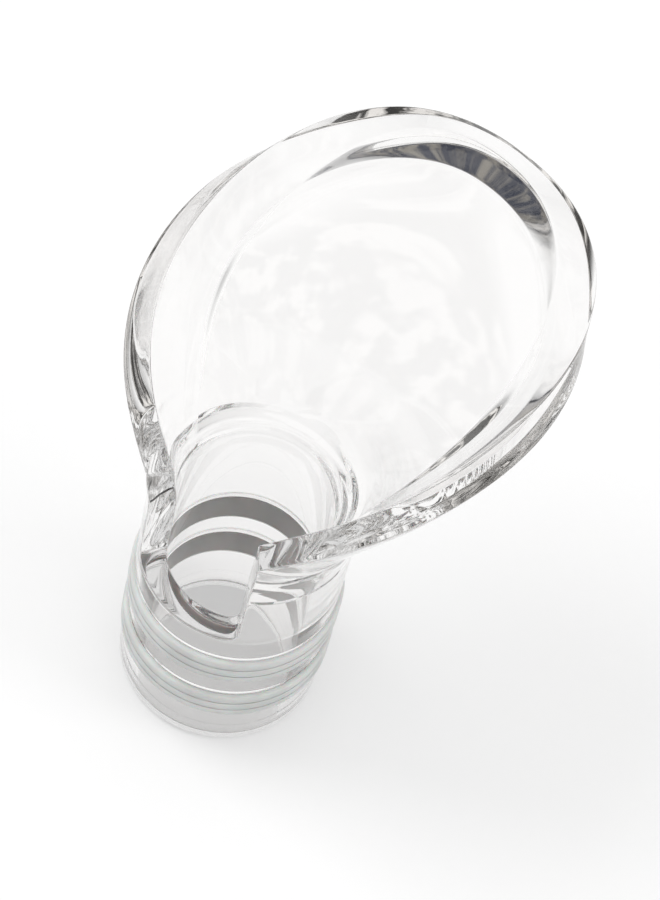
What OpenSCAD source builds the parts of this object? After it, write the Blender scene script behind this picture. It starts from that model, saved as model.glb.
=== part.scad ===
// Clear wine aerator pourer that plugs into a round neck, in millimetres.
// The origin lies on the stem's axis, midway between the lands of the two seal rings.
// +Z runs out of the neck. The loop leans back towards +Y and the open slot faces -Y.
// The body is one moulding: a ring-shaped stem, two legs that run into a wide oval rim,
// and a thin concave panel that spans the rim, over which the wine spreads out.
// The curves below are drawn from the mouth's level, the height at which the neck ends.

/* [Neck fit] */
// Bore of the neck that the seal rings press against
neck_bore_d = 18.5; // [17.5:0.1:20]
// Running clearance on the diameter between the stem and the neck
stem_clearance = 0.7; // [0.3:0.1:1.2]

/* [Stem] */
// Depth that the stem reaches below the mouth's level
stem_depth = 26; // [22:0.5:34]
// Wall of the stem, the legs and the rim
wall = 2.3; // [1.8:0.1:3]
// Radius that rounds the stem's lower outer edge
nose_r = 0.8; // [0.3:0.1:1.2]
// Angle of the open slot between the two legs
slot_angle = 78; // [50:1:100]
// Depth that the slot reaches below the mouth's level
slot_depth = 8; // [4:0.5:11]

/* [Seal rings] */
// Height of each seal ring
seal_h = 3.4; // [2:0.1:4]
// Depth of the groove that holds a seal ring
groove_depth = 0.8; // [0.4:0.1:1]
// Distance between two seal rings, from centre to centre
seal_pitch = 6; // [5:0.5:8]
// Depth of the first seal ring's centre below the mouth's level
seal_start = 13; // [12.5:0.5:15]
// Size of the slanted edges of a seal ring
seal_chamfer = 0.35; // [0.1:0.05:0.6]

/* [Loop] */
// Distance from the stem's axis to the tip of the loop
tip_reach = 28.6; // [22:0.1:36]
// Height of the tip above the mouth's level
tip_height = 21.8; // [16:0.1:30]
// Slope of the rim's top face at the tip, down towards the back
tip_slope = 35; // [10:1:45]
// Width of the rim's top face at the tip
rim_width = 4.2; // [3:0.1:6]
// Thickness of the rim's inner side at the tip
rim_t = 3.6; // [2.6:0.1:4.4]
// Thickness of the rim's outer lip at the tip
lip_t = 1.1; // [0.6:0.1:2]
// Spread of the rim curve beside the tip
tip_spread = 21.5; // [14:0.5:26]
// Spread of the rim curve at the loop's waist
waist_spread = 17.1; // [12:0.1:20]
// Spread of the rim curve above the legs
leg_spread = 13.3; // [10:0.1:18]
// Height of the legs' front corners above the mouth's level
corner_height = 5.2; // [3:0.1:8]

/* [Panel] */
// Thickness of the panel that spans the rim
panel_t = 0.9; // [0.7:0.1:1.6]
// Fullness of the panel's slope above the mouth's level
panel_fullness = 7; // [4:0.5:10]
// Slope of the panel where it meets the rim's tip
panel_slope = 35; // [20:1:45]

/* [Hidden] */

clear_resin = [0.93, 0.95, 0.95, 0.45];
seal_silicone = [0.86, 0.87, 0.86];

// Facets of the exact round shapes, and the angle between the points of the nose's arc
round_fn = 96;
nose_step = 15;
// Cross-sections along the curved loop, and along the straight part of the legs
loop_steps = 56;
leg_steps = 5;
// Points across each rail and across half of the panel
rail_steps = 4;
panel_steps = 11;

seal_count = 2;
// Depth of the origin below the mouth's level
seal_mid = seal_start + (seal_count - 1) * seal_pitch / 2;
stem_r = (neck_bore_d - stem_clearance) / 2;
bore_r = stem_r - wall;
groove_r = stem_r - groove_depth;
// The loop's skin ends inside the stem's wall, so that the two overlap cleanly
skin_inset = 0.02;
skin_depth = 1.2;
stem_top = -0.4;
leg_out_r = stem_r - skin_inset;
leg_in_r = bore_r + skin_inset;
leg_wall = leg_out_r - leg_in_r;

// Corner of a leg beside the slot, on the inner face: the legs flare a little above the mouth
corner_flare = 0.7;
corner_angle = slot_angle / 2;
function on_circle(r, a, z) = [r * sin(a), -r * cos(a), z];
corner = on_circle(leg_in_r + corner_flare, corner_angle, corner_height);
corner_low = on_circle(leg_in_r, corner_angle, -skin_depth);
// Foot of the rim's inner edge, at the side of the stem
foot_height = 2;
foot = [leg_in_r + corner_flare / 2, 0, foot_height];
foot_low = [leg_in_r, 0, -skin_depth];
// Bulge of a leg's inner face where it turns into the round stem
leg_bulge = leg_in_r * (1 - cos((90 - corner_angle) / 2));

tip = [0, tip_reach, tip_height];
tip_run = [0, cos(tip_slope), -sin(tip_slope)];
inner_tip = tip - rim_width * tip_run;
// Depth of the rim's inner wall at the tip that the panel covers, and depth that shows above it
tip_covered = 0.5;
tip_shown = rim_t - tip_covered;
wall_end = inner_tip - tip_shown * [0, sin(tip_slope), cos(tip_slope)];

// Control points of the rim's upper edge, from the tip round to the leg's corner
waist_back = 27;
waist_drop = 4;
leg_back = 0.2;
leg_drop = 1.9;
rim_edge = [
    tip,
    tip + [tip_spread, 0, 0],
    [waist_spread, tip_reach - waist_back, tip_height - waist_drop],
    [leg_spread, corner[1] + leg_back, tip_height - leg_drop],
    corner
];
// Control points of the rim's inner edge, from the tip round to the foot. The edge keeps
// these shares of the upper edge's spread.
inner_tip_share = 0.74;
inner_waist_share = 0.68;
inner_leg_share = 0.99;
inner_waist_back = 21.6;
inner_waist_drop = 9;
inner_leg_back = 6;
inner_leg_drop = 5.3;
inner_edge = [
    inner_tip,
    inner_tip + [tip_spread * inner_tip_share, 0, 0],
    [waist_spread * inner_waist_share, tip_reach - inner_waist_back, tip_height - inner_waist_drop],
    [leg_spread * inner_leg_share, foot[1] + inner_leg_back, tip_height - inner_leg_drop],
    foot
];
// The panel stays thinner than the wall by at least this step
thin_step = 0.3;
panel_skin = min(panel_t, leg_wall - thin_step);
// Control points of the panel's outer middle line, from the stem up to the tip. The panel's
// inner side ends just short of the foot of the rim's inner wall.
tip_gap = 0.5;
panel_lean = 0.4;
panel_pull = 9.5;
panel_run = [0, cos(panel_slope), sin(panel_slope)];
panel_out = [0, sin(panel_slope), -cos(panel_slope)];
middle_end = wall_end + panel_skin * panel_out - tip_gap * panel_run;
middle_line = [
    [0, leg_out_r, -skin_depth],
    [0, leg_out_r + panel_lean, panel_fullness],
    middle_end - panel_pull * panel_run,
    middle_end
];

function unit(v) = v / norm(v);
function mix(a, b, f) = a + (b - a) * f;
function ease(f) = f * f * (3 - 2 * f);
function flip_x(p) = [0 - p[0], p[1], p[2]];

// Point of a smooth curve through its end points, pulled by the control points between them
function curve(points, t) =
    len(points) == 1
        ? points[0]
        : mix(curve([for (i = [0:len(points) - 2]) points[i]], t),
              curve([for (i = [1:len(points) - 1]) points[i]], t), t);

// Direction in which a curve runs at t
function run(points, t) =
    unit(curve([for (i = [1:len(points) - 1]) points[i] - points[i - 1]], t));

// The same for an edge of the rim, which turns into the leg's straight run over its last stretch
turn_from = 0.75;
function edge_run(points, leg_run, t) =
    unit(mix(run(points, t), leg_run, ease(max(0, t - turn_from) / (1 - turn_from))));

// Outward direction of a face with the run along it and the run across it
function outward(along, across) = unit(cross(across, along));

// Point of the panel's arc from the rail's edge (f = 0) to the middle line (f = 1)
function panel_arc(edge, middle, spread, f) =
    let (
        a = spread * (1 - f),
        across = sin(a) / sin(spread),
        rise = (cos(a) - cos(spread)) / (1 - cos(spread))
    )
    [edge[0] * across, mix(edge[1], middle[1], rise), mix(edge[2], middle[2], rise)];

// Right half of a cross-section: along the outer side from the panel's middle to the rim's
// upper edge, then back along the inner side. The rail is given by the thicknesses of its lip
// and its inner side, and by the depth of inner wall that shows above the panel. The panel keeps
// its full thickness where it meets the rail.
function half_section(top, low, along_top, along_low, bulge, rail, middle, middle_out, spread, skin) =
    let (
        lip = rail[0],
        depth = rail[1],
        shown = rail[2],
        face = outward(unit(along_top + along_low), unit(top - low)),
        mid = (top + low) / 2 + 2 * bulge * face,
        out_top = outward(along_top, unit(top - mid)),
        out_low = outward(along_low, unit(mid - low)),
        rail_in = [for (i = [0:rail_steps]) curve([top, mid, low], i / rail_steps)],
        rail_out = [
            for (i = [0:rail_steps])
                let (f = under_share * i / rail_steps)
                curve([top, mid, low], f) + mix(lip, depth, f) * unit(mix(out_top, out_low, f))
        ],
        edge_in = low + shown * out_low,
        middle_in = middle - skin * middle_out,
        panel_across = unit(edge_in - panel_arc(edge_in, middle_in, spread, 1 / panel_steps)),
        edge_out = edge_in + skin * outward(along_low, panel_across)
    )
    concat(
        [for (i = [panel_steps:-1:0]) panel_arc(edge_out, middle, spread, i / panel_steps)],
        [for (i = [rail_steps:-1:0]) rail_out[i]],
        rail_in,
        [for (i = [0:panel_steps]) panel_arc(edge_in, middle_in, spread, i / panel_steps)]
    );

// Step between the rail's face and the panel where the panel has thickened
least_step = 0.05;
// Share of the way to the foot at which the panel starts to thicken to the full wall
thicken_from = 0.78;
function skin_at(t) =
    mix(panel_skin, leg_wall - least_step, ease(max(0, t - thicken_from) / (1 - thicken_from)));
// Thickness of the rail's inner side and of its outer lip, from the rim's tip to the legs.
// The inner side stays deep beside the tip, and the lip thickens at once.
deep_until = 0.45;
function depth_at(t) = mix(rim_t, leg_wall, ease(max(0, t - deep_until) / (1 - deep_until)));
lip_until = 0.25;
function lip_at(t) = mix(lip_t, leg_wall, ease(min(1, t / lip_until)));
// Share of the rail's underside that stays clear of the panel's root
under_share = 0.78;
// The panel hangs below the rim's corner at the tip, and its root lies within the rail's depth
// from here on
seat_until = 0.45;
function rail_at(t) = [
    lip_at(t),
    depth_at(t),
    depth_at(t) - mix(tip_covered, skin_at(t), ease(min(1, t / seat_until)))
];
// Half angle of the panel's arc: shallow at the tip and a half circle at the foot
shallow_arc = 25;
full_arc = 90;
function spread_at(t) = mix(shallow_arc, full_arc, t);
// Share of the middle line that belongs to the straight part of the legs
leg_share = 0.1;

// Straight runs of a leg's front corner and of its side, down into the stem
corner_run = unit(corner_low - corner);
foot_run = unit(foot_low - foot);

// Right half of the curved loop's cross-section: t = 0 at the tip and 1 at the legs' corners
function loop_half(t) =
    let (s = mix(leg_share, 1, cos(90 * t)))
    half_section(
        curve(rim_edge, t), curve(inner_edge, t),
        edge_run(rim_edge, corner_run, t), edge_run(inner_edge, foot_run, t),
        leg_bulge * ease(t), rail_at(t),
        curve(middle_line, s), outward([1, 0, 0], run(middle_line, s)),
        spread_at(t), skin_at(t));

// Right half of the straight legs' cross-section: u = 0 at their corners and 1 at the bottom
function leg_half(u) =
    let (s = leg_share * (1 - u))
    half_section(
        mix(corner, corner_low, u), mix(foot, foot_low, u), corner_run, foot_run,
        leg_bulge, rail_at(1),
        curve(middle_line, s), outward([1, 0, 0], run(middle_line, s)),
        spread_at(1), skin_at(1));

function flatten(points, z) = [for (p = points) [p[0], p[1], z]];
halves = concat(
    [for (i = [0:loop_steps]) loop_half(i / loop_steps)],
    [for (i = [1:leg_steps - 1]) leg_half(i / leg_steps)],
    [flatten(leg_half(1), -skin_depth)]
);

// Skin of the loop. The tip's cross-section lies in the mirror plane, so its two halves are one.
module loop_skin() {
    half = len(halves[0]);
    around = 2 * half - 2;
    last = len(halves) - 1;
    points = concat(halves[0], [
        for (j = [1:last]) each concat(
            halves[j],
            [for (i = [half - 2:-1:1]) flip_x(halves[j][i])]
        )
    ]);
    function place(j, i) =
        let (k = i % around)
        j > 0 ? half + (j - 1) * around + k : (k < half ? k : around - k);
    sides = [
        for (j = [0:last - 1], i = [0:around - 1]) each [
            [place(j, i), place(j + 1, i), place(j + 1, i + 1)],
            [place(j, i), place(j + 1, i + 1), place(j, i + 1)]
        ]
    ];
    // The bottom is a strip of triangles between the outer and the inner side
    function rung(k) =
        let (m = half - 1 - k)
        m - 1 > k + 1 ? [[m, m - 1, k], [m - 1, k + 1, k]] : [[m, m - 1, k]];
    strip = [for (k = [0:(half - 3) / 2]) each rung(k)];
    bottom = concat(
        [for (t = strip) [for (i = t) place(last, i)]],
        [for (t = strip) [for (i = [2:-1:0]) place(last, around - t[i])]]
    );
    polyhedron(points, concat(sides, bottom));
}

// Lifts a piece that is drawn from the mouth's level into the part's own frame
module from_mouth() {
    translate([0, 0, seal_mid])
        children();
}

// Round tube with the grooves for the seal rings
module stem() {
    rotate_extrude($fn = round_fn)
        difference() {
            polygon([
                [bore_r, stem_top],
                [stem_r, stem_top],
                for (a = [0:nose_step:90])
                    [stem_r - nose_r * (1 - cos(a)), nose_r * (1 - sin(a)) - stem_depth],
                [bore_r, -stem_depth]
            ]);
            for (i = [0:seal_count - 1])
                translate([groove_r, -seal_start - i * seal_pitch - seal_h / 2])
                    square([groove_depth + 1, seal_h]);
        }
}

// Wedge that opens the slot between the legs
module slot_cut() {
    reach = 2 * stem_r;
    translate([0, 0, -slot_depth])
        linear_extrude(slot_depth + 1)
            polygon([
                [0, 0],
                [-reach * tan(corner_angle), -reach],
                [reach * tan(corner_angle), -reach]
            ]);
}

// The clear one-piece moulding
module pourer_body() {
    color(clear_resin)
        from_mouth() {
            difference() {
                stem();
                slot_cut();
            }
            loop_skin();
        }
}

// Soft ring in one groove of the stem, with a flat land that presses on the neck
module seal_ring(place) {
    land_r = neck_bore_d / 2;
    half_h = seal_h / 2;
    color(seal_silicone)
        from_mouth()
            translate([0, 0, -seal_start - place * seal_pitch])
                rotate_extrude($fn = round_fn)
                    polygon([
                        [groove_r, -half_h],
                        [land_r - seal_chamfer, -half_h],
                        [land_r, seal_chamfer - half_h],
                        [land_r, half_h - seal_chamfer],
                        [land_r - seal_chamfer, half_h],
                        [groove_r, half_h]
                    ]);
}

pourer_body();
seal_ring(0);  // seal_ring_1
seal_ring(1);  // seal_ring_2
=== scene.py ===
"""Looks of a clear wine aerator pourer: its moulding, its seal rings, the studio and the camera.

All lengths are in metres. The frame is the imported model's own: the origin lies on the stem's axis,
midway between the seal rings, +Z runs out of the neck, and the open slot faces -Y.
"""
import logging
import math
from dataclasses import dataclass, field
from enum import Enum

import bmesh
import bpy
import numpy as np
from mathutils import Matrix, Vector


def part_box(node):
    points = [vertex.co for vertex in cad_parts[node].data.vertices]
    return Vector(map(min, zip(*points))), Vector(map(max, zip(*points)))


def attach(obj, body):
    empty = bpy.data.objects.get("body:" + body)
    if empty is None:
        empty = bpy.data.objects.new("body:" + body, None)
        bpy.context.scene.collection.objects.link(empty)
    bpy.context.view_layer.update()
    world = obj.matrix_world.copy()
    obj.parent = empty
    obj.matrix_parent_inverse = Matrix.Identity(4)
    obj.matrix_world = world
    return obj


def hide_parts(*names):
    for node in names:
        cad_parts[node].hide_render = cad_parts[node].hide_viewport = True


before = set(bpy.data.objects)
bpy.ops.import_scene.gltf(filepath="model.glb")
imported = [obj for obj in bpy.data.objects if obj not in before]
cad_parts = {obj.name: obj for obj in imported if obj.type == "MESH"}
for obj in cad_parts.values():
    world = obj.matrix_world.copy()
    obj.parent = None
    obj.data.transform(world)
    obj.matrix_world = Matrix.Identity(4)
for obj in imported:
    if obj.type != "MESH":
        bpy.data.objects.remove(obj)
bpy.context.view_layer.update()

MM = 0.001
WELD = 1e-7
HOLD_SHARE = 0.35  # of a corner's rounding: how far off the point lies that holds the flat straight

Colour = tuple[float, float, float, float]
Place = tuple[float, float, float]

log = logging.getLogger("pourer")


class Node(str, Enum):
    """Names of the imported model's solids."""

    BODY = "pourer_body"
    UPPER_SEAL = "seal_ring_1"
    LOWER_SEAL = "seal_ring_2"


class Slot(str, Enum):
    """Names of the record's material slots."""

    CLEAR = "clear_body"
    SEAL = "seal"


# Curves and grids


def unit(v: np.ndarray) -> np.ndarray:
    """Vectors of length 1 along v."""
    return v / np.linalg.norm(v, axis=-1, keepdims=True)


def mix(a: np.ndarray, b: np.ndarray, f: np.ndarray) -> np.ndarray:
    """Straight blend from a (f = 0) to b (f = 1)."""
    return a + (b - a) * f


def ease(f: np.ndarray) -> np.ndarray:
    """Blend factor that starts and ends level: 3 f squared less 2 f cubed, f held to 0 to 1."""
    f = np.clip(f, 0.0, 1.0)
    return f * f * (3.0 - 2.0 * f)


def curve(points: list[np.ndarray], t: np.ndarray) -> np.ndarray:
    """Smooth curve that starts and ends at the outer points and is pulled by those between.

    Neighbouring points are blended by t, again and again, until one is left.

    Args:
        points: Control points, each of a shape that broadcasts with t.
        t: Place along the curve, 0 to 1, with a last axis of length 1.

    Returns:
        The curve's points, with x, y and z on the last axis.
    """
    layer = list(points)
    while len(layer) > 1:
        layer = [mix(a, b, t) for a, b in zip(layer, layer[1:])]
    return layer[0]


def heading(points: list[np.ndarray], t: np.ndarray) -> np.ndarray:
    """Unit direction of a curve: the curve of the differences of its control points."""
    return unit(curve([b - a for a, b in zip(points, points[1:])], t))


def outward(along: np.ndarray, across: np.ndarray) -> np.ndarray:
    """Unit normal of a face: the cross product of the direction across and the one along."""
    return unit(np.cross(across, along))


def inside(start: np.ndarray, end: np.ndarray, count: int) -> np.ndarray:
    """Even steps strictly between start and end, one set a row.

    Args:
        start: First value of each row.
        end: Last value of each row.
        count: Number of steps between them.

    Returns:
        Values of shape rows by count by 1.
    """
    share = np.arange(1, count + 1) / (count + 1.0)
    rows = start[:, None] + (end - start)[:, None] * share[None, :]
    return rows[:, :, None]


def rounded(before: np.ndarray, corner: np.ndarray, after: np.ndarray, count: int) -> np.ndarray:
    """Rounded corner: a curve from before to after, pulled towards the corner.

    Args:
        before: Points where the rounding starts, one a row.
        corner: Points of the sharp corner, one a row.
        after: Points where the rounding ends, one a row.
        count: Points along the rounding, its ends among them.

    Returns:
        Points of shape rows by count by 3.
    """
    f = np.linspace(0.0, 1.0, count)[None, :, None]
    return curve([before[:, None], corner[:, None], after[:, None]], f)


def on_circle(radius: np.ndarray, angle: np.ndarray, z: np.ndarray) -> np.ndarray:
    """Points round the stem's axis: the angle is 0 at the front (-Y) and grows towards +X."""
    radius, angle, z = np.broadcast_arrays(radius, angle, z)
    return np.stack([radius * np.sin(angle), -radius * np.cos(angle), z], axis=-1)


def polar(points: np.ndarray) -> tuple[np.ndarray, np.ndarray]:
    """Radius and angle of points, as on_circle takes them."""
    x, y = points[..., 0], points[..., 1]
    return np.hypot(x, y), np.arctan2(x, -y)


def rounded_outline(corners: list[tuple[float, float, float]], count: int) -> np.ndarray:
    """Outline in the (radius, height) plane whose corners are rounded.

    Each corner gives way to a curve that starts and ends the given distance from it, and one more
    point on each side holds the flat next to it straight.

    Args:
        corners: Radius, height and rounding distance of each corner.
        count: Points along each rounding.

    Returns:
        Points of shape n by 2.
    """
    spots = np.array([c[:2] for c in corners])
    parts = []
    for i, (_, _, size) in enumerate(corners):
        if size <= 0.0:
            parts.append(spots[i][None])
            continue
        back = unit(spots[i - 1] - spots[i])
        ahead = unit(spots[(i + 1) % len(spots)] - spots[i])
        f = np.linspace(0.0, 1.0, count)[:, None]
        arc = curve([spots[i] + back * size, spots[i], spots[i] + ahead * size], f)
        hold = HOLD_SHARE * size
        parts += [arc[:1] + back * hold, arc, arc[-1:] + ahead * hold]
    return np.vstack(parts)


def grid_faces(rows: int, cols: int, first: int = 0) -> np.ndarray:
    """Quads between the neighbours of a grid whose points are numbered row by row.

    Args:
        rows: Number of rows of points.
        cols: Number of points in a row.
        first: Number of the first point.

    Returns:
        Point numbers of shape faces by 4.
    """
    at = first + np.arange(rows * cols).reshape(rows, cols)
    quads = [at[:-1, :-1], at[1:, :-1], at[1:, 1:], at[:-1, 1:]]
    return np.stack(quads, axis=-1).reshape(-1, 4)


def make_piece(name: str, points: np.ndarray, faces: np.ndarray) -> bpy.types.Object:
    """Makes a closed, smooth piece from points and quads.

    Points that fall together are welded, and the faces are turned outwards.

    Args:
        name: Name of the piece.
        points: Points of shape n by 3.
        faces: Point numbers of shape m by 4.

    Returns:
        The new object, at the origin.
    """
    mesh = bpy.data.meshes.new(name)
    mesh.vertices.add(len(points))
    mesh.vertices.foreach_set("co", points.astype(np.float32).ravel())
    mesh.loops.add(faces.size)
    mesh.loops.foreach_set("vertex_index", faces.astype(np.int32).ravel())
    mesh.polygons.add(len(faces))
    starts = np.arange(0, faces.size, faces.shape[1], dtype=np.int32)
    mesh.polygons.foreach_set("loop_start", starts)
    mesh.update(calc_edges=True)
    mesh.validate()
    shape = bmesh.new()
    shape.from_mesh(mesh)
    bmesh.ops.remove_doubles(shape, verts=shape.verts, dist=WELD)
    bmesh.ops.dissolve_degenerate(shape, edges=shape.edges, dist=WELD)
    bmesh.ops.recalc_face_normals(shape, faces=shape.faces)
    open_edges = sum(not edge.is_manifold for edge in shape.edges)
    volume = shape.calc_volume() / MM**3
    shape.to_mesh(mesh)
    shape.free()
    mesh.polygons.foreach_set("use_smooth", np.ones(len(mesh.polygons), dtype=bool))
    piece = bpy.data.objects.new(name, mesh)
    bpy.context.scene.collection.objects.link(piece)
    log.info("%s: %d faces, %d open edges, %.0f mm3", name, len(mesh.polygons), open_edges, volume)
    return piece


# Shader graphs


class Value:
    """One output socket of a shader graph, with the arithmetic that the finishes use."""

    def __init__(self, graph: "Graph", socket: bpy.types.NodeSocket) -> None:
        """Keeps the graph and the socket."""
        self.graph = graph
        self.socket = socket

    def _maths(self, operation: str, first: object, second: object) -> "Value":
        """Adds one Math node that works on two values."""
        return self.graph.add("ShaderNodeMath", {"operation": operation}, {0: first, 1: second})

    def __add__(self, other: object) -> "Value":
        """Sum of two values."""
        return self._maths("ADD", self, other)

    __radd__ = __add__

    def __mul__(self, other: object) -> "Value":
        """Product of two values."""
        return self._maths("MULTIPLY", self, other)

    __rmul__ = __mul__

    def __rsub__(self, other: object) -> "Value":
        """Difference of a number and a value."""
        return self._maths("SUBTRACT", other, self)

    def over(self, low: float, high: float) -> "Value":
        """Share of the way from low to high, level at both ends and held to 0 to 1."""
        settings = {"interpolation_type": "SMOOTHSTEP"}
        inputs = {"Value": self, "From Min": low, "From Max": high}
        return self.graph.add("ShaderNodeMapRange", settings, inputs)

    def either(self, other: "Value") -> "Value":
        """The larger of two values."""
        return self._maths("MAXIMUM", self, other)


class Graph:
    """Shader graph of a material or a world."""

    def __init__(self, owner: bpy.types.ID) -> None:
        """Empties the owner's node tree and keeps it."""
        owner.use_nodes = True
        self.tree = owner.node_tree
        self.tree.nodes.clear()

    def add(
        self,
        kind: str,
        settings: dict[str, object] | None = None,
        inputs: dict[int | str, object] | None = None,
        output: int | str = 0,
    ) -> Value:
        """Adds a node, sets it up and feeds its sockets.

        Args:
            kind: Blender's name of the node's type.
            settings: Settings of the node.
            inputs: Numbers, colours or values for its sockets, by name or number.
            output: Name or number of the output that is wanted.

        Returns:
            The wanted output as a value.
        """
        node = self.tree.nodes.new(kind)
        for name, setting in (settings or {}).items():
            setattr(node, name, setting)
        for name, given in (inputs or {}).items():
            self._feed(node.inputs[name], given)
        return Value(self, node.outputs[output])

    def _feed(self, socket: bpy.types.NodeSocket, given: object) -> None:
        """Links a value to a socket, or sets the socket to a number or a colour."""
        if isinstance(given, Value):
            self.tree.links.new(given.socket, socket)
        else:
            socket.default_value = given

    def blend(self, factor: object, first: object, second: object) -> Value:
        """Colour that goes from the first (factor 0) to the second (factor 1)."""
        inputs = {"Factor": factor, "A": first, "B": second}
        node = self.tree.nodes.new("ShaderNodeMix")
        node.data_type = "RGBA"
        for socket in (s for s in node.inputs if s.enabled):
            self._feed(socket, inputs[socket.name])
        return Value(self, next(s for s in node.outputs if s.enabled))

    def ray(self, kind: str) -> Value:
        """1 for rays of one kind, such as those that come straight from the camera, else 0."""
        return self.add("ShaderNodeLightPath", output=kind)

    def noise(self, place: Value, scale: float, detail: float = 2.0, rough: float = 0.5) -> Value:
        """Soft random pattern of about 0 to 1, by place."""
        inputs = {"Vector": place, "Scale": scale, "Detail": detail, "Roughness": rough}
        return self.add("ShaderNodeTexNoise", {}, inputs)

    def finish(self, shader: Value, kind: str = "ShaderNodeOutputMaterial") -> None:
        """Adds the output node of the material or the world and links the shader to it."""
        node = self.tree.nodes.new(kind)
        self.tree.links.new(shader.socket, node.inputs["Surface"])


def grey(level: float) -> Colour:
    """Grey colour of one level."""
    return (level, level, level, 1.0)


@dataclass(frozen=True)
class ClearPlastic:
    """Polished clear plastic: faint mould waves, a little haze, and a trace of warm tint."""

    tint: Colour = (0.996, 0.990, 0.985, 1.0)
    ior: float = 1.49
    haze: float = 0.012
    haze_spread: float = 0.03
    wave_scale: float = 170.0
    wave_height: float = 0.000012
    patch_scale: float = 102.0
    patch_from: float = 0.45
    patch_full: float = 0.8
    patch_shade: float = 0.985
    scratch_scale: float = 2600.0
    scratch_height: float = 0.0000004

    def build(self) -> bpy.types.Material:
        """Makes the material: waves and fine marks in the bump, haze in the roughness."""
        material = bpy.data.materials.new("clear_plastic")
        graph = Graph(material)
        place = graph.add("ShaderNodeTexCoord", output="Object")
        waves = graph.noise(place, self.wave_scale, detail=1.0)
        marks = graph.noise(place, self.scratch_scale, detail=3.0, rough=0.7)
        patches = graph.noise(place, self.patch_scale, detail=3.0)
        patches = patches.over(self.patch_from, self.patch_full)
        rough = self.haze + self.haze_spread * patches * marks
        shaded = tuple(c * self.patch_shade for c in self.tint[:3]) + (1.0,)
        tone = graph.blend(patches, self.tint, shaded)
        height = waves * self.wave_height + marks * self.scratch_height
        bump = graph.add("ShaderNodeBump", {}, {"Height": height, "Strength": 1.0, "Distance": 1.0})
        inputs = {
            "Base Color": tone,
            "Roughness": rough,
            "IOR": self.ior,
            "Transmission Weight": 1.0,
            "Normal": bump,
        }
        graph.finish(graph.add("ShaderNodeBsdfPrincipled", {}, inputs))
        return material


@dataclass(frozen=True)
class SoftSilicone:
    """Milky moulded silicone: matt skin with fine grain and a slightly uneven tone."""

    pale: Colour = (0.80, 0.815, 0.80, 1.0)
    deep: Colour = (0.70, 0.715, 0.70, 1.0)
    ior: float = 1.41
    subsurface: float = 0.25
    subsurface_scale: float = 0.0012
    roughness: float = 0.38
    rough_spread: float = 0.12
    grain_scale: float = 5200.0
    grain_height: float = 0.000006
    patch_scale: float = 300.0
    patch_from: float = 0.35
    patch_full: float = 0.7

    def build(self) -> bpy.types.Material:
        """Makes the material: two tones by soft patches, and a grain in bump and roughness."""
        material = bpy.data.materials.new("soft_silicone")
        graph = Graph(material)
        place = graph.add("ShaderNodeTexCoord", output="Object")
        patches = graph.noise(place, self.patch_scale, detail=4.0)
        patches = patches.over(self.patch_from, self.patch_full)
        grain = graph.noise(place, self.grain_scale, detail=3.0, rough=0.6)
        height = grain * self.grain_height
        bump = graph.add("ShaderNodeBump", {}, {"Height": height, "Distance": 1.0})
        inputs = {
            "Base Color": graph.blend(patches, self.pale, self.deep),
            "Roughness": self.roughness + self.rough_spread * grain,
            "IOR": self.ior,
            "Subsurface Weight": self.subsurface,
            "Subsurface Scale": self.subsurface_scale,
            "Normal": bump,
        }
        graph.finish(graph.add("ShaderNodeBsdfPrincipled", {}, inputs))
        return material


# The pourer


@dataclass
class Neck:
    """Fit of the pourer in the neck, and heights counted from the mouth's level."""

    bore_d: float = 18.5 * MM
    clearance: float = 0.7 * MM
    seal_h: float = 3.4 * MM
    groove_depth: float = 0.8 * MM
    seal_count: int = 2
    seal_pitch: float = 6.0 * MM
    seal_start: float = 13.0 * MM

    @property
    def stem_r(self) -> float:
        """Outer radius of the stem."""
        return (self.bore_d - self.clearance) / 2

    @property
    def groove_r(self) -> float:
        """Radius of the grooves' floors."""
        return self.stem_r - self.groove_depth

    @property
    def mouth(self) -> float:
        """Height of the mouth's level above the origin."""
        return self.seal_start + self.seal_pitch / 2


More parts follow.
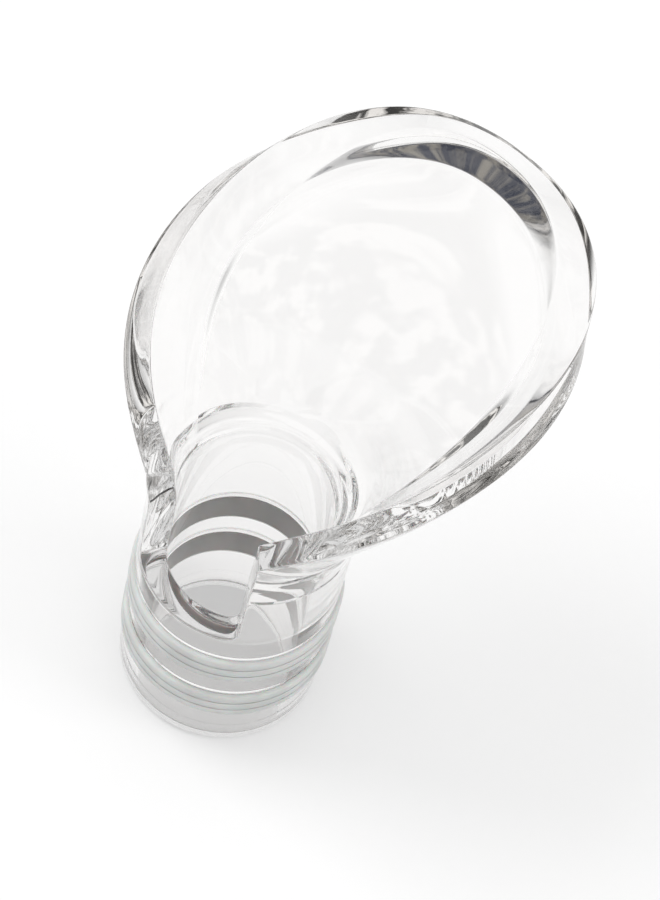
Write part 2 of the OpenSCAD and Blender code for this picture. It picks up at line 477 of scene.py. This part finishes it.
@dataclass
class Moulding:
    """The clear one-piece body: round stem, two legs, oval rim and concave panel."""

    neck: Neck
    wall: float = 2.3 * MM
    stem_depth: float = 26.0 * MM
    nose_r: float = 0.8 * MM
    slot_angle: float = math.radians(78.0)
    slot_depth: float = 8.0 * MM
    slot_round: float = 1.2 * MM
    rings_from: float = 1.7  # roundings of the slot that the first full ring lies below its floor
    edge_round: float = 0.14 * MM
    step_round: float = 0.3 * MM
    groove_round: float = 0.12 * MM
    bore_round: float = 0.4 * MM
    lip_share: float = 0.35  # of the lip, the most that a corner's rounding takes
    step_share: float = 0.4  # of the wall that shows, likewise
    span_share: float = 0.2  # of the panel's span, likewise
    tip_reach: float = 28.6 * MM
    tip_height: float = 21.8 * MM
    tip_slope: float = math.radians(35.0)
    rim_width: float = 4.2 * MM
    rim_t: float = 3.6 * MM
    lip_t: float = 1.1 * MM
    lip_until: float = 0.25
    tip_spread: float = 21.5 * MM
    waist_spread: float = 17.1 * MM
    waist_back: float = 27.0 * MM
    waist_drop: float = 4.0 * MM
    leg_spread: float = 13.3 * MM
    leg_back: float = 0.2 * MM
    leg_drop: float = 1.9 * MM
    corner_height: float = 5.2 * MM
    corner_flare: float = 0.7 * MM
    foot_height: float = 2.0 * MM
    inner_tip_share: float = 0.74
    inner_waist_share: float = 0.68
    inner_waist_back: float = 21.6 * MM
    inner_waist_drop: float = 9.0 * MM
    inner_leg_share: float = 0.99
    inner_leg_back: float = 6.0 * MM
    inner_leg_drop: float = 5.3 * MM
    panel_t: float = 0.9 * MM
    panel_fullness: float = 7.0 * MM
    panel_slope: float = math.radians(35.0)
    panel_pull: float = 9.5 * MM
    panel_lean: float = 0.4 * MM
    least_step: float = 0.05 * MM
    tip_gap: float = 0.5 * MM
    skin_depth: float = 1.2 * MM
    leg_share: float = 0.1
    turn_from: float = 0.75
    thicken_from: float = 0.78
    deep_until: float = 0.45
    tip_covered: float = 0.5 * MM
    under_share: float = 0.78
    under_bend: float = 0.07  # of the rail: how far from its end the root's rounding meets it
    under_hold: float = 0.4  # of the way from the panel's root to there, where it starts
    probe: float = 0.1  # of the panel's arc, over which its first direction is taken
    seat_until: float = 0.45
    round_from: float = 0.2
    level_from: float = 0.6
    shallow_arc: float = math.radians(25.0)
    full_arc: float = math.radians(90.0)
    loop_rows: int = 240
    leg_rows: int = 22
    straight_rows: int = 12
    bend_rows: int = 10
    floor_rows: int = 14
    panel_cols: int = 34
    rail_cols: int = 10
    face_cols: int = 6
    step_cols: int = 2
    round_cols: int = 5
    finish: ClearPlastic = field(default_factory=ClearPlastic)

    def __post_init__(self) -> None:
        """Works out the radii and the control points that the sizes give."""
        self.stem_r = self.neck.stem_r
        self.bore_r = self.stem_r - self.wall
        self.corner_angle = self.slot_angle / 2
        corner = on_circle(self.bore_r + self.corner_flare, self.corner_angle, self.corner_height)
        foot = np.array([self.bore_r + self.corner_flare / 2, 0.0, self.foot_height])
        tip = np.array([0.0, self.tip_reach, self.tip_height])
        slope = self.tip_slope
        tip_run = np.array([0.0, math.cos(slope), -math.sin(slope)])
        inner_tip = tip - self.rim_width * tip_run
        shown = self.rim_t - self.tip_covered
        wall_end = inner_tip - shown * np.array([0.0, math.sin(slope), math.cos(slope)])
        reach, height = self.tip_reach, self.tip_height
        self.rim_edge = [
            tip,
            tip + [self.tip_spread, 0, 0],
            np.array([self.waist_spread, reach - self.waist_back, height - self.waist_drop]),
            np.array([self.leg_spread, corner[1] + self.leg_back, height - self.leg_drop]),
            corner,
        ]
        waist = self.waist_spread * self.inner_waist_share
        leg = self.leg_spread * self.inner_leg_share
        self.inner_edge = [
            inner_tip,
            inner_tip + [self.tip_spread * self.inner_tip_share, 0, 0],
            np.array([waist, reach - self.inner_waist_back, height - self.inner_waist_drop]),
            np.array([leg, foot[1] + self.inner_leg_back, height - self.inner_leg_drop]),
            foot,
        ]
        slope = self.panel_slope
        panel_run = np.array([0.0, math.cos(slope), math.sin(slope)])
        panel_out = np.array([0.0, math.sin(slope), -math.cos(slope)])
        middle_end = wall_end + self.panel_t * panel_out - self.tip_gap * panel_run
        self.middle_line = [
            np.array([0.0, self.stem_r, -self.skin_depth]),
            np.array([0.0, self.stem_r + self.panel_lean, self.panel_fullness]),
            middle_end - self.panel_pull * panel_run,
            middle_end,
        ]
        self.corner, self.foot = corner, foot
        self.corner_low = on_circle(self.bore_r, self.corner_angle, -self.skin_depth)
        self.foot_low = np.array([self.bore_r, 0.0, -self.skin_depth])
        self.corner_run = unit(self.corner_low - corner)
        self.foot_run = unit(self.foot_low - foot)
        self.leg_bulge = self.bore_r * (1 - math.cos((math.pi / 2 - self.corner_angle) / 2))
        self.outer_cols = self.rail_cols + 2 * self.round_cols + self.step_cols - 1

    def skin_at(self, t: np.ndarray) -> np.ndarray:
        """Panel's thickness along the loop: thin, then eased up to nearly the full wall."""
        thick = ease((t - self.thicken_from) / (1 - self.thicken_from))
        return mix(self.panel_t, self.wall - self.least_step, thick)

    def rail_at(self, t: np.ndarray) -> tuple[np.ndarray, np.ndarray, np.ndarray]:
        """Sizes of the rail along the loop.

        Args:
            t: Places along the loop, 0 at the tip and 1 at the legs' corners.

        Returns:
            Depths of its lip and of its inner side, and the depth of its inner wall that shows
            above the panel.
        """
        lip = mix(self.lip_t, self.wall, ease(t / self.lip_until))
        depth = mix(self.rim_t, self.wall, ease((t - self.deep_until) / (1 - self.deep_until)))
        covered = mix(self.tip_covered, self.skin_at(t), ease(t / self.seat_until))
        return lip, depth, depth - covered

    def edge_run(self, points: list[np.ndarray], leg_run: np.ndarray, t: np.ndarray) -> np.ndarray:
        """Direction of a rim's edge, which turns into the leg's straight run at its end.

        Args:
            points: Control points of the edge.
            leg_run: Direction of the straight run.
            t: Places along the edge, one a row.

        Returns:
            Unit directions, one a row.
        """
        turned = ease((t - self.turn_from) / (1 - self.turn_from))
        return unit(mix(heading(points, t), leg_run, turned))

    def section(
        self,
        top: np.ndarray,
        low: np.ndarray,
        along_top: np.ndarray,
        along_low: np.ndarray,
        bulge: np.ndarray,
        rail_sizes: tuple[np.ndarray, np.ndarray, np.ndarray],
        middle: np.ndarray,
        middle_out: np.ndarray,
        spread: np.ndarray,
        skin: np.ndarray,
    ) -> np.ndarray:
        """Right half of the cross-sections, from the panel's outer middle to its inner middle.

        The rail's top face is a curve from the rim's upper edge to its inner edge. Its underside
        is the same curve moved out by a depth that goes from the lip's to the inner side's, and it
        ends short of the inner edge, where the panel's root begins. The panel is an arc from the
        rail to the middle line: x goes as the sine of an angle, y and z as its cosine. Five
        corners are rounded.

        Args:
            top: Points of the rim's upper edge, one a section.
            low: Points of the rim's inner edge.
            along_top: Directions in which the upper edge runs.
            along_low: Directions in which the inner edge runs.
            bulge: Heights of the rail's bulge.
            rail_sizes: Sizes of the rail, as rail_at gives them.
            middle: Points of the panel's outer middle line.
            middle_out: Outward directions there.
            spread: Half angles of the panel's arc.
            skin: Thicknesses of the panel.

        Returns:
            Points of shape sections by columns by 3.
        """
        lip, depth, step = rail_sizes
        face = outward(unit(along_top + along_low), unit(top - low))
        mid = (top + low) / 2 + 2 * bulge[:, None] * face
        out_top = outward(along_top, unit(top - mid))
        out_low = outward(along_low, unit(mid - low))
        rail = [top[:, None], mid[:, None], low[:, None]]

        def at(value: np.ndarray) -> np.ndarray:
            """Shape of a value a section, ready for a curve."""
            return value[:, None, None]

        def rail_in(f: np.ndarray) -> np.ndarray:
            """Point of the rail's inner face, from the upper edge to the inner edge."""
            return curve(rail, f)

        def rail_out(f: np.ndarray) -> np.ndarray:
            """Point of the rail's outer face."""
            deep = mix(at(lip), at(depth), f)
            return rail_in(f) + deep * unit(mix(out_top[:, None], out_low[:, None], f))

        def arc(edge: np.ndarray, centre: np.ndarray, f: np.ndarray) -> np.ndarray:
            """Point of the panel, from the rail (f = 0) to the middle line (f = 1)."""
            wide = spread[:, None, None]
            a = wide * (1 - f)
            rise = (np.cos(a) - np.cos(wide)) / (1 - np.cos(wide))
            path = mix(edge[:, None], centre[:, None], rise)
            x = edge[:, None, :1] * np.sin(a) / np.sin(wide)
            return np.concatenate([x, path[..., 1:]], axis=-1)

        one = np.ones(len(top))
        width = np.linalg.norm(top - low, axis=1)
        bend = np.minimum(self.edge_round, self.lip_share * lip)
        brim = np.minimum(self.edge_round, self.step_share * step)
        edge_in = low + step[:, None] * out_low
        middle_in = middle - skin[:, None] * middle_out
        across = edge_in - arc(edge_in, middle_in, at(self.probe * one))[:, 0]
        span = np.linalg.norm(across, axis=1) / self.probe
        edge_out = edge_in + skin[:, None] * outward(along_low, unit(across))
        under = self.under_share * one
        bed_at = under - self.under_bend
        under_end, bed = rail_out(at(under))[:, 0], rail_out(at(bed_at))[:, 0]
        under_start = mix(edge_out, under_end, self.under_hold)
        root = np.minimum(self.step_round, self.step_share * step)
        root = np.minimum(root, self.span_share * span)
        up = np.linspace(1.0, 0.0, self.panel_cols + 1)[None, :, None]
        top_out, top_in = rail_out(at(0 * one))[:, 0], rail_in(at(0 * one))[:, 0]
        share = bend / lip
        cut_start = mix(top_out, top_in, share[:, None])
        cut_end = mix(top_out, top_in, 1 - share[:, None])
        wall_out = rail_out(at(bend / width))[:, 0]
        wall_in = rail_in(at(bend / width))[:, 0]
        brim_start = rail_in(at(1 - brim / width))[:, 0]
        brim_end = low + (edge_in - low) * (brim / step)[:, None]
        root_start = edge_in + (low - edge_in) * (root / step)[:, None]
        root_end = arc(edge_in, middle_in, at(root / span))[:, 0]
        wall = inside(brim / step, 1 - root / step, self.step_cols)
        return np.concatenate(
            [
                arc(edge_out, middle, up),
                rounded(under_start, under_end, bed, self.round_cols),
                rail_out(inside(bed_at, bend / width, self.outer_cols - self.round_cols)),
                rounded(wall_out, top_out, cut_start, self.round_cols),
                mix(top_out[:, None], top_in[:, None], inside(share, 1 - share, self.face_cols)),
                rounded(cut_end, top_in, wall_in, self.round_cols),
                rail_in(inside(bend / width, 1 - brim / width, self.rail_cols)),
                rounded(brim_start, low, brim_end, self.round_cols),
                mix(low[:, None], edge_in[:, None], wall),
                rounded(root_start, edge_in, root_end, self.round_cols),
                arc(edge_in, middle_in, inside(root / span, one, self.panel_cols - 1)),
                middle_in[:, None],
            ],
            axis=1,
        )

    def loop_sections(self) -> np.ndarray:
        """Sections of the curved loop, from the tip (t = 0) to the legs' corners (t = 1)."""
        t = np.linspace(0.0, 1.0, self.loop_rows)
        s = mix(self.leg_share, 1.0, np.cos(t * math.pi / 2))[:, None]
        across = np.array([1.0, 0.0, 0.0])
        return self.section(
            curve(self.rim_edge, t[:, None]),
            curve(self.inner_edge, t[:, None]),
            self.edge_run(self.rim_edge, self.corner_run, t[:, None]),
            self.edge_run(self.inner_edge, self.foot_run, t[:, None]),
            self.leg_bulge * ease(t),
            self.rail_at(t),
            curve(self.middle_line, s),
            outward(across, heading(self.middle_line, s)),
            mix(self.shallow_arc, self.full_arc, t),
            self.skin_at(t),
        )

    def leg_sections(self) -> np.ndarray:
        """Sections of the straight legs, from their corners down into the round stem."""
        u = np.linspace(0.0, 1.0, self.leg_rows + 1)[1:]
        one = np.ones((len(u), 1))
        s = self.leg_share * (1 - u)[:, None]
        across = np.array([1.0, 0.0, 0.0])
        drawn = self.section(
            mix(self.corner, self.corner_low, u[:, None]),
            mix(self.foot, self.foot_low, u[:, None]),
            self.corner_run * one,
            self.foot_run * one,
            self.leg_bulge * one[:, 0],
            self.rail_at(one[:, 0]),
            curve(self.middle_line, s),
            outward(across, heading(self.middle_line, s)),
            self.full_arc * one[:, 0],
            self.skin_at(one[:, 0]),
        )
        z = drawn[:, 0, 2]
        stem = self.round_sections(self.corner_angle + 0 * u, z, 1.0 + 0 * u, 0 * u, z)
        turned = ease((u - self.round_from) / (1 - self.round_from))[:, None]
        radius, angle = (mix(a, b, turned) for a, b in zip(polar(drawn), polar(stem)))
        level = ease((u - self.level_from) / (1 - self.level_from))[:, None]
        return on_circle(radius, angle, mix(drawn[..., 2], -self.skin_depth, level))

    def round_sections(
        self,
        angle: np.ndarray,
        z: np.ndarray,
        aside: np.ndarray,
        below: np.ndarray,
        z_back: np.ndarray,
    ) -> np.ndarray:
        """Right half of the sections where the wall is round: two arcs and the slot's face.

        The wall's points lie at even angles from the slot to the back, and their height goes
        evenly from the slot's to the back's. The slot's face is radial, and its corners are
        rounded towards the wall, along aside and below.

        Args:
            angle: Angles of the slot's face, one a section.
            z: Heights of the slot's face.
            aside: Shares of the wall's direction, away from the slot, that run round the axis.
            below: Shares of it that run down.
            z_back: Heights at the back.

        Returns:
            Points of shape sections by columns by 3.
        """
        bend = self.edge_round
        count = self.panel_cols + self.outer_cols + 2

        def wall(radius: float, f: np.ndarray) -> np.ndarray:
            """Points of one wall, from the back (f = 0) to the slot (f = 1)."""
            end = (angle + aside * bend / radius)[:, None]
            low = (z - below * bend)[:, None]
            return on_circle(radius, mix(math.pi, end, f), mix(z_back[:, None], low, f))

        forward = np.linspace(0.0, 1.0, count)[None, :]
        outer, inner = wall(self.stem_r, forward), wall(self.bore_r, 1 - forward)
        top_out, top_in = on_circle(self.stem_r, angle, z), on_circle(self.bore_r, angle, z)
        cut_start = on_circle(self.stem_r - bend, angle, z)
        cut_end = on_circle(self.bore_r + bend, angle, z)
        share = bend / self.wall * np.ones(len(angle))
        return np.concatenate(
            [
                outer[:, :-1],
                rounded(outer[:, -1], top_out, cut_start, self.round_cols),
                mix(top_out[:, None], top_in[:, None], inside(share, 1 - share, self.face_cols)),
                rounded(cut_end, top_in, inner[:, 0], self.round_cols),
                inner[:, 1:],
            ],
            axis=1,
        )

    def slot_sections(self) -> np.ndarray:
        """Sections beside the slot: straight down, round its bottom corner and along its floor.

        The slot's edge is drawn unrolled, with the arc's length at mid-wall as one axis and the
        height as the other: a straight line, a quarter circle and a straight line.
        """
        mid_r = (self.stem_r + self.bore_r) / 2
        bend = self.slot_round
        far = self.corner_angle * mid_r
        floor = -self.slot_depth
        drop = np.linspace(-self.skin_depth, floor + bend, self.straight_rows + 1)[1:]
        turn = np.linspace(0.0, math.pi / 2, self.bend_rows + 1)[1:]
        flat = np.linspace(far - bend, 0.0, self.floor_rows + 1)[1:]
        length = np.concatenate([far + 0 * drop, far - bend + bend * np.cos(turn), flat])
        z = np.concatenate([drop, floor + bend - bend * np.sin(turn), floor + 0 * flat])
        aside = np.concatenate([1 + 0 * drop, np.cos(turn), 0 * flat])
        below = np.concatenate([0 * drop, np.sin(turn), 1 + 0 * flat])
        count = self.bend_rows + self.floor_rows
        back_drop = np.linspace(floor + bend, floor - bend, count + 1)[1:]
        z_back = np.concatenate([drop, back_drop])
        return self.round_sections(length / mid_r, z, aside, below, z_back)

    def stem_rings(self, last: np.ndarray) -> np.ndarray:
        """Half rings of the stem below the slot: down the outside, round the nose, up the bore.

        Each ring is a half circle at one height, with the grooves in the outer profile. The first
        and last rings are the ends of the last section beside the slot.

        Args:
            last: Points of that section.

        Returns:
            Points of shape rings by columns by 3.
        """
        count = self.panel_cols + self.outer_cols + 2
        start = -self.slot_depth - self.rings_from * self.slot_round
        tight = self.groove_round
        spots = [(self.stem_r, start, 0.0)]
        for i in range(self.neck.seal_count):
            centre = -self.neck.seal_start - i * self.neck.seal_pitch
            high, low = centre + self.neck.seal_h / 2, centre - self.neck.seal_h / 2
            spots += [
                (self.stem_r, high, tight),
                (self.neck.groove_r, high, tight),
                (self.neck.groove_r, low, tight),
                (self.stem_r, low, tight),
            ]
        spots += [
            (self.stem_r, -self.stem_depth, self.nose_r),
            (self.bore_r, -self.stem_depth, self.bore_round),
            (self.bore_r, start, 0.0),
        ]
        profile = rounded_outline(spots, self.round_cols + 1)
        angle = np.linspace(math.pi, 0.0, count)[None, :]
        rings = on_circle(profile[:, :1], angle, profile[:, 1:])
        outer, inner = last[None, :count], last[None, ::-1][:, :count]
        return np.concatenate([outer, rings, inner])

    def half(self) -> tuple[np.ndarray, np.ndarray]:
        """Points and quads of the right half, open along the mirror plane."""
        upper = np.concatenate([self.loop_sections(), self.leg_sections(), self.slot_sections()])
        lower = self.stem_rings(upper[-1])
        points = np.concatenate([upper.reshape(-1, 3), lower.reshape(-1, 3)])
        faces = np.concatenate(
            [
                grid_faces(*upper.shape[:2]),
                grid_faces(*lower.shape[:2], first=upper.shape[0] * upper.shape[1]),
            ]
        )
        return points, faces

    def build(self) -> bpy.types.Object:
        """Mirrors the right half, welds the two and dresses the body."""
        points, faces = self.half()
        points[np.abs(points[:, 0]) < WELD, 0] = 0.0
        twin = points * [-1.0, 1.0, 1.0]
        both = np.concatenate([points, twin]) + [0.0, 0.0, self.neck.mouth]
        faces = np.concatenate([faces, faces[:, ::-1] + len(points)])
        body = make_piece("clear_body", both, faces)
        body.data.materials.append(self.finish.build())
        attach(body, "root")
        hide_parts(Node.BODY.value)
        return body


@dataclass
class SealRing:
    """Soft ring in one groove of the stem, with two shallow channels round its land."""

    name: str
    node: Node
    neck: Neck
    height: float
    gap: float = 0.03 * MM
    round_out: float = 0.45 * MM
    round_in: float = 0.15 * MM
    channel: float = 0.12 * MM
    turns: int = 160
    round_cols: int = 6
    finish: SoftSilicone = field(default_factory=SoftSilicone)

    def profile(self) -> np.ndarray:
        """Closed outline of the ring's section, with channels dipped into its land."""
        land = self.neck.bore_d / 2
        low, high = self.height - self.neck.seal_h / 2, self.height + self.neck.seal_h / 2
        inner = self.neck.groove_r + self.gap
        low, high = low + self.gap, high - self.gap
        pitch = (high - low) / 3
        spots = [(inner, low, self.round_in), (land, low, self.round_out)]
        for centre in (low + pitch, high - pitch):
            spots += [
                (land, centre - 2 * self.channel, self.channel),
                (land - self.channel, centre, self.channel),
                (land, centre + 2 * self.channel, self.channel),
            ]
        spots += [(land, high, self.round_out), (inner, high, self.round_in)]
        return rounded_outline(spots, self.round_cols)

    def build(self) -> bpy.types.Object:
        """Turns the outline round the stem's axis and dresses the ring."""
        outline = self.profile()
        outline = np.vstack([outline, outline[:1]])
        angle = np.linspace(0.0, 2 * math.pi, self.turns + 1)[None, :]
        points = on_circle(outline[:, :1], angle, outline[:, 1:])
        ring = make_piece(self.name, points.reshape(-1, 3), grid_faces(*points.shape[:2]))
        ring.data.materials.append(self.finish.build())
        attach(ring, "root")
        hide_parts(self.node.value)
        return ring


# The studio


@dataclass(frozen=True)
class PaleFloor:
    """Plain white floor: it keeps shadows, and gloss and clear plastic see it white up close."""

    albedo: float = 0.55
    glow: float = 0.43
    clear_glow: float = 0.40
    far_glow: float = 0.0
    near_r: float = 0.12
    far_r: float = 0.45

    def build(self) -> bpy.types.Material:
        """Makes the material: a matt white plus a glow for all but the scattered light."""
        material = bpy.data.materials.new("pale_floor")
        graph = Graph(material)
        place = graph.add("ShaderNodeTexCoord", output="Object")
        length = {"operation": "LENGTH"}
        away = graph.add("ShaderNodeVectorMath", length, {0: place}, output="Value")
        seen = graph.ray("Is Camera Ray")
        clear = graph.ray("Is Glossy Ray").either(graph.ray("Is Transmission Ray"))
        fade = 1.0 - (1.0 - self.far_glow) * away.over(self.near_r, self.far_r)
        level = self.glow * seen + self.clear_glow * clear * fade
        glow = graph.add("ShaderNodeEmission", {}, {"Color": grey(1.0), "Strength": level})
        matt = graph.add("ShaderNodeBsdfDiffuse", {}, {"Color": grey(self.albedo)})
        graph.finish(graph.add("ShaderNodeAddShader", {}, {0: matt, 1: glow}))
        return material


@dataclass(frozen=True)
class Lamp:
    """Square soft lamp that faces the part, and that doesn't show in the gloss."""

    name: str
    place: Place
    size: float
    power: float

    def build(self) -> None:
        """Hangs the lamp."""
        light = bpy.data.lights.new(self.name, "AREA")
        light.shape = "SQUARE"
        light.size = self.size
        light.energy = self.power
        hung = bpy.data.objects.new(self.name, light)
        hung.location = self.place
        hung.visible_glossy = hung.visible_transmission = False
        hung.rotation_euler = (-Vector(self.place)).to_track_quat("-Z", "Y").to_euler()
        bpy.context.scene.collection.objects.link(hung)


@dataclass
class Studio:
    """Pale floor, soft lamps and a sky that the clear plastic sees streaky, with one dark side."""

    floor_z: float
    size: float = 3.0
    sky: float = 0.75
    dark_way: Place = (-0.62, 0.74, 0.26)
    dark_edge: float = 0.35
    dark_core: float = 0.8
    ceiling_from: float = 0.7
    ceiling_full: float = 0.9
    streak_scale: float = 5.5
    streak_from: float = 0.45
    streak_full: float = 0.60
    streak_tones: tuple[Colour, Colour] = ((0.05, 0.048, 0.045, 1.0), (0.87, 0.845, 0.815, 1.0))
    patch_scale: float = 7.0
    patch_from: float = 0.42
    patch_full: float = 0.62
    patch_tones: tuple[Colour, Colour] = ((0.04, 0.045, 0.065, 1.0), (0.25, 0.235, 0.21, 1.0))
    bounces: int = 32
    floor: PaleFloor = field(default_factory=PaleFloor)
    lamps: tuple[Lamp, ...] = (
        Lamp("key_lamp", (-0.35, -0.1, 0.6), 0.3, 1.6),
        Lamp("fill_lamp", (0.45, 0.2, 0.45), 0.25, 0.7),
    )

    def lay_floor(self) -> None:
        """Makes the flat floor under the part."""
        half = self.size / 2
        corners = np.array([[-half, -half], [half, -half], [half, half], [-half, half]])
        points = np.column_stack([corners, np.full(4, self.floor_z)])
        mesh = bpy.data.meshes.new("floor")
        mesh.from_pydata(points.tolist(), [], [(0, 1, 2, 3)])
        mesh.materials.append(self.floor.build())
        floor = bpy.data.objects.new("floor", mesh)
        bpy.context.scene.collection.objects.link(floor)

    def hang_sky(self) -> None:
        """Makes the world: white for the camera, plain for scattered light, and for gloss and
        clear plastic a white ceiling over streaky sides, which are dark towards the back left."""
        world = bpy.data.worlds.new("studio")
        bpy.context.scene.world = world
        graph = Graph(world)
        way = graph.add("ShaderNodeTexCoord", output="Generated")
        height = graph.add("ShaderNodeSeparateXYZ", {}, {0: way}, output="Z")
        product, vectors = {"operation": "DOT_PRODUCT"}, {0: way, 1: self.dark_way}
        dark = graph.add("ShaderNodeVectorMath", product, vectors, output="Value")
        streaks = graph.noise(way, self.streak_scale, detail=3.0, rough=0.6)
        patches = graph.noise(way, self.patch_scale, detail=4.0, rough=0.65)
        streaks = streaks.over(self.streak_from, self.streak_full)
        patches = patches.over(self.patch_from, self.patch_full)
        light_side = graph.blend(streaks, *self.streak_tones)
        dark_side = graph.blend(patches, *self.patch_tones)
        sides = graph.blend(dark.over(self.dark_edge, self.dark_core), light_side, dark_side)
        studio = graph.blend(height.over(self.ceiling_from, self.ceiling_full), sides, grey(1.0))
        clear = graph.ray("Is Glossy Ray").either(graph.ray("Is Transmission Ray"))
        tone = graph.blend(clear, grey(self.sky), studio)
        tone = graph.blend(graph.ray("Is Camera Ray"), tone, grey(1.0))
        background = graph.add("ShaderNodeBackground", {}, {"Color": tone, "Strength": 1.0})
        graph.finish(background, "ShaderNodeOutputWorld")

    def build(self) -> None:
        """Sets up the floor, the sky and the lamps, and lets light run on inside the plastic."""
        self.lay_floor()
        self.hang_sky()
        for lamp in self.lamps:
            lamp.build()
        bpy.context.scene.view_settings.view_transform = "Standard"
        rays = bpy.context.scene.cycles
        rays.max_bounces = rays.glossy_bounces = rays.transmission_bounces = self.bounces


@dataclass
class Viewpoint:
    """Camera at the photograph's viewing angle, closer in on the part.

    The place is the photograph's, fitted to circles round the stem's axis with assumed sizes and
    an assumed lens. The roll leans that axis to the right, as the photograph does.
    """

    mouth: float
    place: Place = (67.6 * MM, -114.8 * MM, 212.9 * MM)
    lean: float = math.radians(15.7)
    lens: float = 122.0
    target: Place = (0.0, 10.0 * MM, 13.0 * MM)
    nearest: float = 0.01
    farthest: float = 20.0

    def build(self) -> None:
        """Makes the scene's camera."""
        data = bpy.data.cameras.new("camera")
        data.lens = self.lens
        data.clip_start = self.nearest
        data.clip_end = self.farthest
        camera = bpy.data.objects.new("camera", data)
        place = Vector(self.place) + Vector((0.0, 0.0, self.mouth))
        turn = (Vector(self.target) - place).to_track_quat("-Z", "Y").to_matrix().to_4x4()
        camera.matrix_world = Matrix.Translation(place) @ turn @ Matrix.Rotation(self.lean, 4, "Z")
        bpy.context.scene.collection.objects.link(camera)
        bpy.context.scene.camera = camera


def main() -> None:
    """Builds the pourer, the studio and the camera."""
    logging.basicConfig(level=logging.INFO, format="%(name)s: %(message)s")
    neck = Neck()
    floor_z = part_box(Node.BODY.value)[0][2]
    rings = [
        SealRing("upper_seal", Node.UPPER_SEAL, neck, neck.seal_pitch / 2),
        SealRing("lower_seal", Node.LOWER_SEAL, neck, -neck.seal_pitch / 2),
    ]
    for maker in [Moulding(neck), *rings]:
        piece = maker.build()
        log.info("built %s", piece.name)
    Studio(floor_z).build()
    Viewpoint(neck.mouth).build()


if __name__ == "__main__":
    main()
